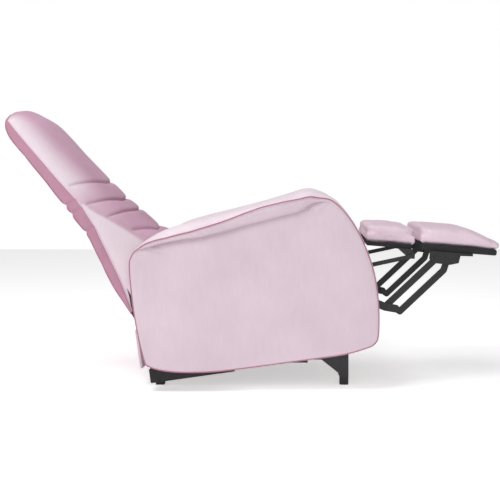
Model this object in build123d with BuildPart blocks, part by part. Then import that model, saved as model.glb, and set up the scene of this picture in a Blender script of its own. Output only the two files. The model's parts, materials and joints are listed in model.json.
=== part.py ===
"""Nursery glider recliner: a padded armchair on a hanging-link glide base.

Four side-view frames are used, each a plane seen from the chair's right side.
  floor frame   x forward, z up, origin on the floor under the tilt shaft
  seat frame    the same axes turned back by the seat's tilt, origin on the tilt shaft
  back frame    turned back again by the recline, origin on the back hinge
  foot frame    along the footrest, origin at the footrest board's lower rear corner
Every width is given as a distance from the chair's middle plane, y = 0.
"""
from build123d import *
import os
from math import atan2, cos, degrees, hypot, radians, sin

# ---------------------------------------------------------------- driving sizes
seat_tilt = 8.0               # the seat's lean at rest, degrees
back_recline = 20.0           # the back's lean from the seat frame at rest, degrees
footrest_drop = 12.5          # the footrest's slope below the seat frame, degrees

arm_inner = 270.0             # middle plane to the arm frames
arm_outer = 365.0             # middle plane to the outer arm panels
arm_overhang = 20.0           # how far the arm rolls stand out past the panels
seat_half_width = 263.0
back_half_width = 261.0
footrest_half_width = 255.0
mid_rest_half_width = 236.0

glide_link_length = 105.0
glide_pivot_height = 185.0
glide_pivot_reach = 170.0     # the glide pivots, forward and back of the middle
tilt_height = 150.0           # the tilt shaft, from the floor

base_length = 644.0
base_rail_low = 84.0
base_rail_high = 112.0
base_rail_inner = 205.0
base_rail_outer = 235.0
foot_size = 30.0
foot_height = 25.0

seat_cushion_low = 216.0
seat_cushion_high = 334.0
seat_cushion_front = 414.0
seat_cushion_rear = -186.0
seat_rail_low = 174.0
seat_rail_high = 200.0

back_height = 785.0           # the back's side corner, above the hinge
back_crown = 60.0             # how much higher the middle of the headrest stands

footrest_length = 252.0
footrest_pad_thickness = 57.0
footrest_board_thickness = 20.0
footrest_board_setback = 8.0   # the board starts this far behind the pad's near end
mid_rest_length = 154.0
mid_rest_thickness = 66.0
mid_board_thickness = 12.0

steel = 4.0                   # plates and links
lane_gap = 1.0                # between two links that pass each other
pin_radius = 5.0
running_clearance = 0.05
tube_wall = 3.0

# ---------------------------------------------------------------- pivots, in the seat frame
back_hinge = (-335.0, 132.0)
lower_link_pivot = (269.0, 161.0)
rear_knee = (453.0, 51.0)           # lower link to outer link
front_knee = (645.0, 186.0)         # outer link to footrest bracket
knee_offset = (34.0, -11.0)         # from each knee to the parallel link's pivot
mid_link_rise = 114.0               # the mid link's pivot above the middle of its pin's chord
foot_origin = (597.0, 221.0)
mid_origin = (424.0, 259.0)         # the mid board's lower rear corner
mid_pin_along = 153.0
mid_pin_drop = 23.5

# ---------------------------------------------------------------- lanes for plates and links
plate_lane = arm_inner - 6.0
lower_lane = plate_lane - steel - lane_gap
outer_lane = lower_lane - steel - lane_gap
parallel_lane = outer_lane - steel - lane_gap
mid_lane = parallel_lane - steel - lane_gap
lug_lane = mid_lane - steel - lane_gap

# ---------------------------------------------------------------- travel, in degrees from rest
glide_swing = 17.0
footrest_close = 90.0 - footrest_drop     # to where the pad hangs upright
outer_link_close = 18.0                   # the outer link's own turn the other way
mid_rest_stow = (193.8, 130.6)            # the mid board's corner with the footrest closed
mid_rest_turn = 52.9                      # the mid rest's own turn while the footrest closes

sides = (("right", -1), ("left", 1))
pieces = {}


def side_plane(origin, turn, y):
    """The plane at width y whose x runs forward and y runs up, leaned back by turn degrees."""
    lean = radians(turn)
    return Plane(origin=(origin[0], y, origin[1]), x_dir=(cos(lean), 0, sin(lean)), z_dir=(0, -1, 0))


def turned(point, turn):
    """A point turned back (nose up) by turn degrees about the origin."""
    lean = radians(turn)
    return (point[0] * cos(lean) - point[1] * sin(lean), point[0] * sin(lean) + point[1] * cos(lean))


def shifted(point, offset):
    return (point[0] + offset[0], point[1] + offset[1])


def seat_to_floor(point):
    """A seat-frame point in the floor frame."""
    return shifted(turned(point, seat_tilt), (0, tilt_height))


def foot_to_seat(along, above, origin=foot_origin):
    """A foot-frame point in the seat frame."""
    return shifted(turned((along, above), -footrest_drop), origin)


def floor_side(y):
    return side_plane((0, 0), 0, y)


def seat_side(y):
    return side_plane((0, tilt_height), seat_tilt, y)


def back_side(y):
    return side_plane(seat_to_floor(back_hinge), seat_tilt + back_recline, y)


def foot_side(y):
    return side_plane(seat_to_floor(foot_origin), seat_tilt - footrest_drop, y)


def mid_side(y):
    return side_plane(seat_to_floor(mid_origin), seat_tilt - footrest_drop, y)


def bar_outline(start, end, width):
    """A straight bar with round ends between two pivots, drawn in the sketch in progress."""
    middle = ((start[0] + end[0]) / 2, (start[1] + end[1]) / 2)
    length = hypot(end[0] - start[0], end[1] - start[1])
    turn = degrees(atan2(end[1] - start[1], end[0] - start[0]))
    with Locations(middle):
        SlotCenterToCenter(length, width, rotation=turn)


def pin_holes(points, radius):
    with Locations(*points):
        Circle(radius, mode=Mode.SUBTRACT)


def keep(name, piece):
    """Label a finished piece and keep it for writing."""
    piece.label = name
    pieces[name] = piece


parallel_rear = shifted(rear_knee, knee_offset)
parallel_front = shifted(front_knee, knee_offset)
mid_pin = foot_to_seat(mid_pin_along, -mid_pin_drop, mid_origin)
mid_pin_stowed = shifted(turned((mid_pin_along, -mid_pin_drop), -footrest_drop - mid_rest_turn), mid_rest_stow)
mid_reach = shifted(mid_pin_stowed, (-mid_pin[0], -mid_pin[1]))
mid_link_pivot = (
    (mid_pin[0] + mid_pin_stowed[0]) / 2 + mid_reach[1] / hypot(*mid_reach) * mid_link_rise,
    (mid_pin[1] + mid_pin_stowed[1]) / 2 - mid_reach[0] / hypot(*mid_reach) * mid_link_rise,
)
mid_link_close = degrees(2 * atan2(hypot(*mid_reach) / 2, abs(mid_link_rise)))
swing_pin_radius = 6.0
glide_low = glide_pivot_height - glide_link_length

# ================================================================ glide base
upright_thickness = 5.0
upright_inner = base_rail_inner - upright_thickness
swing_thickness = 5.0
swing_inner = upright_inner - lane_gap - swing_thickness
carriage_outer = swing_inner - lane_gap
carriage_inner = carriage_outer - 25.0
rail_middle = (base_rail_inner + base_rail_outer) / 2
rail_half = (base_rail_outer - base_rail_inner) / 2
base_end = base_length / 2
foot_x = base_end - foot_size / 2

for side_name, side in sides:
    with BuildPart() as base_side:
        with BuildSketch(floor_side(side * rail_middle)):
            with Locations((0, (base_rail_low + base_rail_high) / 2)):
                Rectangle(base_length, base_rail_high - base_rail_low)
            with BuildLine():
                Polyline(
                    (-base_end, base_rail_low),
                    (-base_end, foot_height),
                    (-base_end + foot_size, foot_height),
                    (-base_end + foot_size, foot_height + 32),
                    (-base_end + 2 * foot_size, base_rail_low),
                    close=True,
                )
            make_face()
            with BuildLine():
                Polyline(
                    (base_end - 90, base_rail_low),
                    (base_end - foot_size - 6, foot_height + 16),
                    (base_end - foot_size, foot_height),
                    (base_end, foot_height),
                    (base_end, base_rail_low),
                    close=True,
                )
            make_face()
        extrude(amount=rail_half, both=True)
        # the rail and its two legs are one pressed channel, open towards the middle of the chair
        with BuildSketch(floor_side(side * (rail_middle - tube_wall))):
            with Locations((0, (base_rail_low + base_rail_high) / 2)):
                Rectangle(base_length - 2 * tube_wall, base_rail_high - base_rail_low - 2 * tube_wall)
            for end in (-1, 1):
                with Locations((end * (base_end - foot_size / 2), (foot_height + base_rail_low) / 2 + tube_wall)):
                    Rectangle(foot_size - 2 * tube_wall, base_rail_low - foot_height)
        extrude(amount=rail_half, both=True, mode=Mode.SUBTRACT)
        # two uprights stand inside the rail and carry the upper glide pivots
        with BuildSketch(floor_side(side * (upright_inner + upright_thickness / 2))):
            for end in (-1, 1):
                pivot_x = end * glide_pivot_reach
                with BuildLine():
                    Polyline(
                        (pivot_x - 48, base_rail_high),
                        (pivot_x - 48, base_rail_high - tube_wall),
                        (pivot_x + 48, base_rail_high - tube_wall),
                        (pivot_x + 48, base_rail_high),
                        (pivot_x + 14, glide_pivot_height),
                        (pivot_x - 14, glide_pivot_height),
                        close=True,
                    )
                make_face()
                with Locations((pivot_x, glide_pivot_height)):
                    Circle(14)
                    Circle(swing_pin_radius, mode=Mode.SUBTRACT)
        extrude(amount=upright_thickness / 2, both=True)
    keep(f"base_side_{side_name}", base_side.part)

with BuildPart() as feet:
    with BuildSketch(Plane.XY):
        with GridLocations(2 * foot_x, 2 * rail_middle, 2, 2):
            RectangleRounded(foot_size, foot_size, 5)
    extrude(amount=foot_height)
    chamfer(feet.faces().group_by(Axis.Z)[0].edges(), 1.5)
keep("feet", feet.part)

cross_tube_x = 234.0
cross_tube_radius = 12.5
with BuildPart() as base_cross_tubes:
    with BuildSketch(Plane.XZ):
        with Locations((-cross_tube_x, 98), (cross_tube_x, 98)):
            Circle(cross_tube_radius)
            Circle(cross_tube_radius - 2, mode=Mode.SUBTRACT)
    extrude(amount=base_rail_inner, both=True)
keep("base_cross_tubes", base_cross_tubes.part)

with BuildPart() as glide_pins_upper:
    for side_name, side in sides:
        for end in (-1, 1):
            with BuildSketch(floor_side(side * base_rail_inner)):
                with Locations((end * glide_pivot_reach, glide_pivot_height)):
                    Circle(swing_pin_radius)
            extrude(amount=side * (base_rail_inner - swing_inner + 1))
            with BuildSketch(floor_side(side * (swing_inner - lane_gap / 2))):
                with Locations((end * glide_pivot_reach, glide_pivot_height)):
                    Circle(swing_pin_radius + 4)
            extrude(amount=side * 3)
keep("glide_pins_upper", glide_pins_upper.part)

for end_name, end in (("front", 1), ("rear", -1)):
    for side_name, side in sides:
        top = (end * glide_pivot_reach, glide_pivot_height)
        bottom = (end * glide_pivot_reach, glide_low)
        with BuildPart() as swing_link:
            with BuildSketch(floor_side(side * (swing_inner + swing_thickness / 2))):
                bar_outline(top, bottom, 26)
                pin_holes([top, bottom], swing_pin_radius + running_clearance)
            extrude(amount=swing_thickness / 2, both=True)
        keep(f"{end_name}_glide_link_{side_name}", swing_link.part)

# ================================================================ carriage under the seat
carriage_end = 186.0
carriage_half_height = 14.0
shaft_radius = 10.0
tilt_plate_thickness = 8.0
carriage_middle = (carriage_inner + carriage_outer) / 2

for side_name, side in sides:
    with BuildPart() as carriage_side:
        with BuildSketch(floor_side(side * carriage_middle)):
            with Locations((0, glide_low)):
                Rectangle(2 * carriage_end, 2 * carriage_half_height)
        extrude(amount=(carriage_outer - carriage_inner) / 2, both=True)
        with BuildSketch(Plane.YZ.offset(-carriage_end)):
            with Locations((side * carriage_middle, glide_low)):
                Rectangle(carriage_outer - carriage_inner - 2 * tube_wall, 2 * (carriage_half_height - tube_wall))
        extrude(amount=2 * carriage_end, mode=Mode.SUBTRACT)
        with BuildSketch(floor_side(side * carriage_middle)):
            with Locations((-glide_pivot_reach, glide_low), (glide_pivot_reach, glide_low)):
                Circle(swing_pin_radius)
        extrude(amount=30, both=True, mode=Mode.SUBTRACT)
        # the tilt plate rises from the rail to the shaft
        with BuildSketch(floor_side(side * (carriage_outer - tilt_plate_thickness / 2))):
            with BuildLine():
                Polyline(
                    (-60, glide_low + carriage_half_height),
                    (60, glide_low + carriage_half_height),
                    (19, tilt_height + 4),
                    (-19, tilt_height + 4),
                    close=True,
                )
            make_face()
            with Locations((0, tilt_height)):
                Circle(20)
                Circle(shaft_radius, mode=Mode.SUBTRACT)
        extrude(amount=tilt_plate_thickness / 2, both=True)
    keep(f"carriage_side_{side_name}", carriage_side.part)

with BuildPart() as carriage_cross_tubes:
    with BuildSketch(Plane.XZ):
        with Locations((-130, glide_low), (130, glide_low)):
            Circle(11)
            Circle(9, mode=Mode.SUBTRACT)
    extrude(amount=carriage_inner, both=True)
keep("carriage_cross_tubes", carriage_cross_tubes.part)

with BuildPart() as glide_pins_lower:
    for side_name, side in sides:
        for end in (-1, 1):
            with BuildSketch(floor_side(side * carriage_inner)):
                with Locations((end * glide_pivot_reach, glide_low)):
                    Circle(swing_pin_radius)
            extrude(amount=-side * (upright_inner - 0.5 - carriage_inner))
keep("glide_pins_lower", glide_pins_lower.part)

with BuildPart() as tilt_shaft:
    with BuildSketch(floor_side(0)):
        with Locations((0, tilt_height)):
            Circle(shaft_radius)
    extrude(amount=arm_inner - 2, both=True)
    for side_name, side in sides:
        with BuildSketch(floor_side(side * (plate_lane - steel / 2 - lane_gap))):
            with Locations((0, tilt_height)):
                Circle(shaft_radius + 6)
        extrude(amount=side * 6)
keep("tilt_shaft", tilt_shaft.part)

# ================================================================ seat frame
seat_rail_outer = mid_rest_half_width
seat_rail_width = 24.0
spacer_points = [(-240, 187), (-20, 187), (190, 187)]
arm_bolt_points = [(-292, 150), (-130, 150), (110, 150)]
hinge_pin_radius = 7.0
spacer_radius = 8.0
rear_rail_x = (-285.0, -261.0)
front_rail_x = (300.0, 325.0)

for side_name, side in sides:
    with BuildPart() as mechanism_plate:
        with BuildSketch(seat_side(side * plate_lane)):
            with BuildLine():
                Polyline(
                    (-357, 116),
                    (-357, 150),
                    (-335, 170),
                    (-300, 200),
                    (215, 200),
                    (300, 208),
                    (362, 208),
                    (366, 182),
                    (300, 140),
                    (120, 118),
                    (22, 6),
                    (-22, 6),
                    (-90, 118),
                    close=True,
                )
            make_face()
            with Locations((0, 0)):
                Circle(24)
            pin_holes([(0, 0)], shaft_radius + running_clearance)
            pin_holes([lower_link_pivot, mid_link_pivot], pin_radius)
            pin_holes([back_hinge], hinge_pin_radius)
            pin_holes(spacer_points + arm_bolt_points, pin_radius - 1)
        extrude(amount=steel / 2, both=True)
    keep(f"mechanism_plate_{side_name}", mechanism_plate.part)

    with BuildPart() as seat_side_rail:
        with BuildSketch(seat_side(side * (seat_rail_outer - seat_rail_width / 2))):
            with Locations(((rear_rail_x[0] + front_rail_x[1]) / 2, (seat_rail_low + seat_rail_high) / 2)):
                Rectangle(front_rail_x[1] - rear_rail_x[0], seat_rail_high - seat_rail_low)
            pin_holes(spacer_points, pin_radius - 1)
        extrude(amount=seat_rail_width / 2, both=True)
    keep(f"seat_side_rail_{side_name}", seat_side_rail.part)

cross_rail_half = seat_rail_outer - seat_rail_width
for rail_name, rail_x, rail_low in (("front", front_rail_x, 158), ("rear", rear_rail_x, 150)):
    with BuildPart() as seat_cross_rail:
        with BuildSketch(seat_side(0)):
            with Locations(((rail_x[0] + rail_x[1]) / 2, (rail_low + seat_rail_high) / 2)):
                Rectangle(rail_x[1] - rail_x[0], seat_rail_high - rail_low)
        extrude(amount=cross_rail_half, both=True)
        fillet(seat_cross_rail.edges().filter_by(Axis.Y), 2)
    keep(f"seat_{rail_name}_rail", seat_cross_rail.part)

spring_pitch = 80.0
spring_wire = 4.0
spring_turns = 14
spring_start = rear_rail_x[0] + 8
spring_step = (front_rail_x[1] - 8 - spring_start) / spring_turns
seat_top_plane = Plane(
    origin=(seat_to_floor((0, seat_rail_high))[0], 0, seat_to_floor((0, seat_rail_high))[1]),
    x_dir=(cos(radians(seat_tilt)), 0, sin(radians(seat_tilt))),
    z_dir=(-sin(radians(seat_tilt)), 0, cos(radians(seat_tilt))),
)
with BuildPart() as seat_springs:
    with BuildSketch(seat_top_plane):
        for row in range(-2, 3):
            with BuildLine():
                loops = []
                for turn_number in range(spring_turns + 1):
                    swing = 20 if turn_number % 2 else -20
                    loops.append((spring_start + turn_number * spring_step, row * spring_pitch + swing))
                Polyline(*loops)
            trace(line_width=spring_wire)
    extrude(amount=spring_wire)
keep("seat_springs", seat_springs.part)

with BuildPart() as seat_deck:
    with BuildSketch(seat_side(0)):
        with Locations(((rear_rail_x[0] + front_rail_x[1]) / 2, seat_rail_high + spring_wire + 3.5)):
            Rectangle(front_rail_x[1] - rear_rail_x[0], 6)
    extrude(amount=seat_rail_outer, both=True)
keep("seat_deck", seat_deck.part)

with BuildPart() as seat_cushion:
    with BuildSketch(seat_side(0)):
        with BuildLine():
            Polyline(
                (seat_cushion_rear, seat_cushion_low),
                (seat_cushion_rear, seat_cushion_high - 18),
                (seat_cushion_front - 150, seat_cushion_high),
                (seat_cushion_front - 30, seat_cushion_high - 6),
                (seat_cushion_front, seat_cushion_high - 36),
                (seat_cushion_front, seat_cushion_low + 32),
                (seat_cushion_front - 24, seat_cushion_low + 4),
                (seat_cushion_front - 60, seat_cushion_low),
                close=True,
            )
        make_face()
    extrude(amount=seat_half_width, both=True)
    fillet(seat_cushion.edges().filter_by(Plane.XZ), 12)
keep("seat_cushion", seat_cushion.part)

with BuildPart() as plate_spacers:
    for side_name, side in sides:
        with BuildSketch(seat_side(side * seat_rail_outer)):
            with Locations(*spacer_points):
                Circle(spacer_radius)
        extrude(amount=-side * (plate_lane - steel / 2 - seat_rail_outer))
        with BuildSketch(seat_side(side * (seat_rail_outer - seat_rail_width - 4))):
            with Locations(*spacer_points):
                Circle(pin_radius - 1)
        extrude(amount=-side * (plate_lane + steel / 2 + 2 - (seat_rail_outer - seat_rail_width - 4)))
keep("plate_spacers", plate_spacers.part)

with BuildPart() as arm_bolts:
    for side_name, side in sides:
        with BuildSketch(seat_side(side * (plate_lane - steel / 2 - 3))):
            with Locations(*arm_bolt_points):
                Circle(pin_radius + 2)
        extrude(amount=-side * 3)
        with BuildSketch(seat_side(side * (plate_lane - steel / 2))):
            with Locations(*arm_bolt_points):
                Circle(pin_radius - 1)
        extrude(amount=-side * (arm_inner + 14 - plate_lane + steel / 2))
keep("arm_bolts", arm_bolts.part)

with BuildPart() as pivot_pins:
    for side_name, side in sides:
        for point, radius, inner in (
            (lower_link_pivot, pin_radius, lower_lane - steel / 2 + 0.5),
            (mid_link_pivot, pin_radius, mid_lane - steel / 2 - 0.5),
            (back_hinge, hinge_pin_radius, back_half_width - 8.5),
        ):
            with BuildSketch(seat_side(side * inner)):
                with Locations(point):
                    Circle(radius)
            extrude(amount=-side * (plate_lane + steel / 2 - inner))
            with BuildSketch(seat_side(side * (plate_lane + steel / 2))):
                with Locations(point):
                    Circle(radius + 4)
            extrude(amount=-side * 2.5)
keep("pivot_pins", pivot_pins.part)

rear_panel_x = (-378.0, -368.0)
with BuildPart() as rear_rail:
    with BuildSketch(seat_side(0)):
        with Locations((-355, 70)):
            Rectangle(24, 36)
    extrude(amount=arm_inner, both=True)
keep("outer_rear_rail", rear_rail.part)

with BuildPart() as rear_panel:
    with BuildSketch(seat_side(0)):
        with Locations(((rear_panel_x[0] + rear_panel_x[1]) / 2, 26)):
            Rectangle(rear_panel_x[1] - rear_panel_x[0], 132)
    extrude(amount=arm_inner - 2, both=True)
    fillet(rear_panel.faces().sort_by(Axis.X)[0].edges(), 4)
keep("rear_panel", rear_panel.part)

# ================================================================ arms
arm_frame_thickness = 14.0
arm_bottom = -71.0
runner_width = (300.0, 345.0)


def arm_outline(inset, top_drop):
    """The arm's outline from the side, as a sketch."""
    low = arm_bottom + inset
    drop = inset + top_drop
    rear_foot = (-344 + inset, -10 + inset)
    rear_top = (-354 + inset, 305 - drop / 2)
    shoulder = (-219 + inset / 2, 405 - drop)
    crest = (246, 467 - drop)
    brow = (388 - inset, 340 - drop / 3)
    nose = (430 - inset, 120)
    toe = (424 - inset, 10)
    front_foot = (362 - inset, low)
    rear_low = (-120, low)
    with BuildSketch() as outline:
        with BuildLine():
            ThreePointArc(rear_foot, (-357 + inset, 150), rear_top)
            ThreePointArc(rear_top, (-314 + inset * 0.8, 368 - drop * 0.8), shoulder)
            Line(shoulder, crest)
            ThreePointArc(crest, (336 - inset * 0.7, 424 - drop * 0.7), brow)
            ThreePointArc(brow, (424 - inset, 235), nose)
            ThreePointArc(nose, (429 - inset, 60), toe)
            ThreePointArc(toe, (405 - inset * 0.8, -46 + inset * 0.8), front_foot)
            Line(front_foot, rear_low)
            ThreePointArc(rear_low, (-280, -43 + inset), rear_foot)
        make_face()
    return outline.sketch


roll_thickness = 30.0
for side_name, side in sides:
    with BuildPart() as arm_frame:
        with BuildSketch(seat_side(side * (arm_inner + arm_frame_thickness / 2))):
            add(arm_outline(10, roll_thickness))
            pin_holes(arm_bolt_points, pin_radius - 1)
        extrude(amount=arm_frame_thickness / 2, both=True)
    keep(f"arm_frame_{side_name}", arm_frame.part)

    with BuildPart() as arm_runner:
        runner_middle = side * (runner_width[0] + runner_width[1]) / 2
        with BuildSketch(seat_side(runner_middle)):
            with Locations((-198, arm_bottom + 18)):
                Rectangle(274, 46)
        extrude(amount=(runner_width[1] - runner_width[0]) / 2, both=True)
        fillet(arm_runner.edges().filter_by(Axis.Y), 4)
    keep(f"arm_runner_{side_name}", arm_runner.part)

    with BuildPart() as arm_cushion:
        cushion_middle = side * (arm_inner + arm_frame_thickness + arm_outer) / 2
        with BuildSketch(seat_side(cushion_middle)):
            add(arm_outline(0, roll_thickness))
        extrude(amount=(arm_outer - arm_inner - arm_frame_thickness) / 2, both=True)
        with BuildSketch(seat_side(runner_middle)):
            with Locations((-204, arm_bottom + 12)):
                Rectangle(287, 60)
        extrude(amount=(runner_width[1] - runner_width[0]) / 2 + 0.5, both=True, mode=Mode.SUBTRACT)
    keep(f"arm_cushion_{side_name}", arm_cushion.part)

    with BuildPart() as arm_roll:
        roll_middle = side * (arm_inner + arm_outer + arm_overhang) / 2
        with BuildSketch(seat_side(roll_middle)):
            add(arm_outline(0, 0))
            add(arm_outline(0, roll_thickness), mode=Mode.SUBTRACT)
        extrude(amount=(arm_outer + arm_overhang - arm_inner) / 2, both=True)
    keep(f"arm_roll_{side_name}", arm_roll.part)

# ================================================================ back
back_seam_top = (-103.0, back_height)
back_low = -20.0
skin = 3.0
bracket_lane = back_half_width - 6.0
frame_front = -13.0


def back_shell_outline(inset):
    """The outer back from the side, as a sketch, moved forward and shortened by inset."""
    with BuildSketch() as outline:
        with BuildLine():
            Polyline(
                (-46 + inset, back_low - inset),
                (-46 + inset, back_low + 365),
                (-80 + inset, back_height - 268),
                (-121 + inset, back_height - 50),
                (-122 + inset, back_height - 15 - inset),
                (-104 + inset, back_height - inset),
                (-92 + inset, back_height - 45),
                (-42 + inset, back_height - 268),
                (-11 + inset, back_low + 370),
                (-8 + inset, back_low - inset),
                close=True,
            )
        make_face()
    return outline.sketch


with BuildPart() as outer_back:
    with BuildSketch(back_side(0)):
        add(back_shell_outline(0))
    extrude(amount=back_half_width, both=True)
    with BuildSketch(back_side(0)):
        add(back_shell_outline(skin + 1))
        add(back_shell_outline(skin + 20))
    extrude(amount=back_half_width - skin, both=True, mode=Mode.SUBTRACT)
keep("outer_back", outer_back.part)

stile_width = 27.0
stile_outer = bracket_lane - steel / 2
with BuildPart() as back_frame:
    for side_name, side in sides:
        with BuildSketch(back_side(side * (stile_outer - stile_width / 2))):
            with BuildLine():
                Polyline(
                    (-41, back_low + 10),
                    (-41, back_low + 364),
                    (-75, back_height - 269),
                    (-109, back_height - 78),
                    (-90, back_height - 75),
                    (-46, back_height - 269),
                    (frame_front, back_low + 364),
                    (frame_front, back_low + 10),
                    close=True,
                )
            make_face()
        extrude(amount=stile_width / 2, both=True)
    for rail_back, rail_front, low, high in (
        (-41, frame_front, back_low + 10, back_low + 60),
        (-41, frame_front, back_low + 300, back_low + 345),
        (-101, -87, back_height - 115, back_height - 78),
    ):
        with BuildSketch(back_side(0)):
            with Locations(((rail_back + rail_front) / 2, (low + high) / 2)):
                Rectangle(rail_front - rail_back, high - low)
        extrude(amount=stile_outer - stile_width, both=True)
keep("back_frame", back_frame.part)

for side_name, side in sides:
    with BuildPart() as back_bracket:
        with BuildSketch(back_side(side * bracket_lane)):
            bar_outline((-26, 22), (-26, 200), 26)
            bar_outline((0, 0), (-26, 22), 28)
            pin_holes([(0, 0)], hinge_pin_radius + running_clearance)
            pin_holes([(-26, 90), (-26, 180)], pin_radius - 1)
        extrude(amount=steel / 2, both=True)
    keep(f"back_bracket_{side_name}", back_bracket.part)

seam_outline = [(-7, 34), (-10, back_low + 370), (-41, back_height - 268), (-90, back_height - 45), back_seam_top]


def back_cushion_face(crown, bulge):
    """The back cushion's section: bulge scales how far it stands in front of its seam."""
    front = [
        (-103 + 22 * bulge, back_height + crown),
        (-96 + 50 * bulge, back_height - 20 + crown),
        (-85 + 70 * bulge, back_height - 60 + crown / 2),
        (-56 + 82 * bulge, back_height - 170),
        (-38 + 90 * bulge, back_height - 285),
        (-16 + 96 * bulge, back_height - 395),
        (-14 + 136 * bulge, back_height - 500),
        (-14 + 172 * bulge, back_height - 558),
        (-14 + 166 * bulge, back_height - 578),
        (-14 + 150 * bulge, back_height - 592),
        (-14 + 148 * bulge, 114),
        (-14 + 76 * bulge, 88),
        (38, 78),
        (36, 34),
    ]
    with BuildSketch() as section:
        with BuildLine():
            Polyline(*seam_outline, *front, close=True)
        make_face()
    return section.sketch


with BuildPart() as back_cushion:
    with BuildSketch(back_side(-seat_half_width + 1)):
        add(back_cushion_face(4, 0.55))
    with BuildSketch(back_side(0)):
        add(back_cushion_face(back_crown, 1.0))
    with BuildSketch(back_side(seat_half_width - 1)):
        add(back_cushion_face(4, 0.55))
    loft(ruled=True)
keep("back_cushion", back_cushion.part)

# ================================================================ footrest linkage
link_width = 22.0
knee_bend = (500.0, 28.0)
elbow = shifted(front_knee, (18, -43))

for side_name, side in sides:
    with BuildPart() as lower_link:
        with BuildSketch(seat_side(side * lower_lane)):
            bar_outline(lower_link_pivot, rear_knee, 26)
            bar_outline(rear_knee, parallel_rear, 26)
            pin_holes([lower_link_pivot], pin_radius + running_clearance)
            pin_holes([rear_knee, parallel_rear], pin_radius)
        extrude(amount=steel / 2, both=True)
    keep(f"lower_link_{side_name}", lower_link.part)

    with BuildPart() as outer_link:
        with BuildSketch(seat_side(side * outer_lane)):
            bar_outline(rear_knee, front_knee, link_width)
            pin_holes([rear_knee, front_knee], pin_radius + running_clearance)
        extrude(amount=steel / 2, both=True)
    keep(f"outer_link_{side_name}", outer_link.part)

    with BuildPart() as parallel_link:
        with BuildSketch(seat_side(side * parallel_lane)):
            bar_outline(parallel_rear, knee_bend, link_width)
            bar_outline(knee_bend, elbow, link_width)
            bar_outline(elbow, parallel_front, link_width)
            pin_holes([parallel_rear], pin_radius + running_clearance)
            pin_holes([parallel_front], pin_radius + 0.5)
        extrude(amount=steel / 2, both=True)
    keep(f"parallel_link_{side_name}", parallel_link.part)

    with BuildPart() as footrest_bracket:
        with BuildSketch(foot_side(side * lower_lane)):
            with BuildLine():
                Polyline(
                    (30, -0.3),
                    (30, -28),
                    (46, -40),
                    (100, -42),
                    (128, -34),
                    (132, -10),
                    (173, -8),
                    (173, -0.3),
                    close=True,
                )
            make_face()
        extrude(amount=steel / 2, both=True)
        with BuildSketch(foot_side(side * (lower_lane - 12))):
            with Locations((101.5, -1.8)):
                Rectangle(143, 3)
        extrude(amount=12 + steel / 2, both=True)
        with BuildSketch(seat_side(side * lower_lane)):
            with Locations(front_knee, parallel_front):
                Circle(pin_radius)
        extrude(amount=steel, both=True, mode=Mode.SUBTRACT)
    keep(f"footrest_bracket_{side_name}", footrest_bracket.part)

    with BuildPart() as mid_link:
        with BuildSketch(seat_side(side * mid_lane)):
            bar_outline(mid_link_pivot, mid_pin, 14)
            pin_holes([mid_link_pivot, mid_pin], pin_radius + running_clearance)
        extrude(amount=steel / 2, both=True)
    keep(f"mid_link_{side_name}", mid_link.part)

with BuildPart() as torsion_tube:
    with BuildSketch(seat_side(0)):
        with Locations(lower_link_pivot):
            Circle(10)
            Circle(8, mode=Mode.SUBTRACT)
    extrude(amount=lower_lane - steel / 2, both=True)
keep("torsion_tube", torsion_tube.part)

rivet_radius = pin_radius + 3
with BuildPart() as knee_rivets:
    for side_name, side in sides:
        for point, lane in ((rear_knee, outer_lane), (parallel_rear, parallel_lane)):
            with BuildSketch(seat_side(side * (lower_lane + steel / 2))):
                with Locations(point):
                    Circle(pin_radius)
            extrude(amount=side * (lower_lane + steel - lane + 0.5))
keep("knee_rivets", knee_rivets.part)

with BuildPart() as toe_rivets:
    for side_name, side in sides:
        for point, lane in ((front_knee, outer_lane), (parallel_front, parallel_lane)):
            with BuildSketch(seat_side(side * (lower_lane + steel / 2))):
                with Locations(point):
                    Circle(pin_radius)
            extrude(amount=side * (lower_lane + steel - lane + 0.5))
            with BuildSketch(seat_side(side * (lower_lane + steel / 2))):
                with Locations(point):
                    Circle(rivet_radius)
            extrude(amount=-side * 2)
keep("toe_rivets", toe_rivets.part)

# ================================================================ footrest pads
with BuildPart() as footrest_board:
    with BuildSketch(foot_side(0)):
        with Locations(((footrest_board_setback + footrest_length) / 2, footrest_board_thickness / 2)):
            Rectangle(footrest_length - footrest_board_setback, footrest_board_thickness)
    extrude(amount=footrest_half_width, both=True)
    fillet(footrest_board.faces().sort_by(Axis.X)[-1].edges().filter_by(Axis.Y), 7)
keep("footrest_board", footrest_board.part)

with BuildPart() as footrest_pad:
    with BuildSketch(foot_side(0)):
        with BuildLine():
            low = footrest_board_thickness + 0.3
            high = footrest_board_thickness + footrest_pad_thickness
            end = footrest_length + 14
            Polyline(
                (6, low),
                (0, low + 14),
                (8, high - 19),
                (36, high),
                (150, high),
                (end - 50, high - 12),
                (end - 12, low + 26),
                (end, low + 10),
                (end - 6, low),
                close=True,
            )
        make_face()
    extrude(amount=footrest_half_width + 4, both=True)
keep("footrest_pad", footrest_pad.part)

mid_board_length = mid_rest_length - 4
with BuildPart() as mid_rest_board:
    with BuildSketch(mid_side(0)):
        with Locations((mid_board_length / 2, mid_board_thickness / 2)):
            Rectangle(mid_board_length, mid_board_thickness)
    extrude(amount=mid_rest_half_width, both=True)
keep("mid_rest_board", mid_rest_board.part)

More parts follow.
